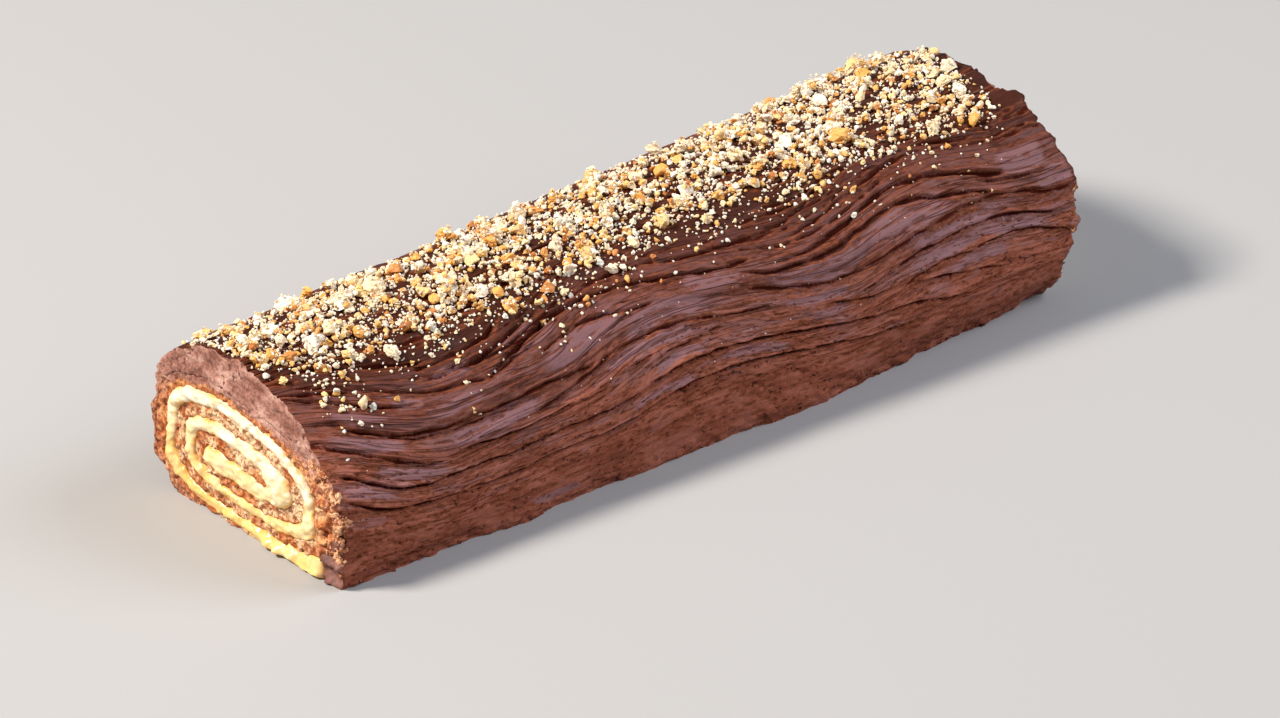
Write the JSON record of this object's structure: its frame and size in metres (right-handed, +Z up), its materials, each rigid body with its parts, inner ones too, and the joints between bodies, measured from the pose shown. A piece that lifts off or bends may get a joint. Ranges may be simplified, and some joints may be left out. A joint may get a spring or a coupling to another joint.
{
  "type": "yule log cake",
  "caption": "Whole yule log cake: sponge rolled with cream, both cut ends showing the spiral, under thick chocolate frosting combed into wavy bark-like grooves.",
  "frame": {"origin": "on the standing surface, under the middle of the cake's bounding box", "axes": "+X along the log from the end that the usual view shows to the far end, -Y the front side, +Z up"},
  "size_m": [0.29, 0.1064, 0.0661],
  "materials": {
    "frosting": "chocolate frosting, mid brown, satin on its ribs and dark in the combed grooves, paler pinkish brown where it is cut",
    "sponge": "open orange-brown cake crumb, dry and porous",
    "cream": "pale yellow pastry cream, soft and moist",
    "nuts": "chopped nuts, ivory to golden, some toasted orange-brown"
  },
  "bodies": {
    "root": {"frosting": "frosting", "sponge": "sponge", "cream_filling": "cream"}
  },
  "joints": []
}
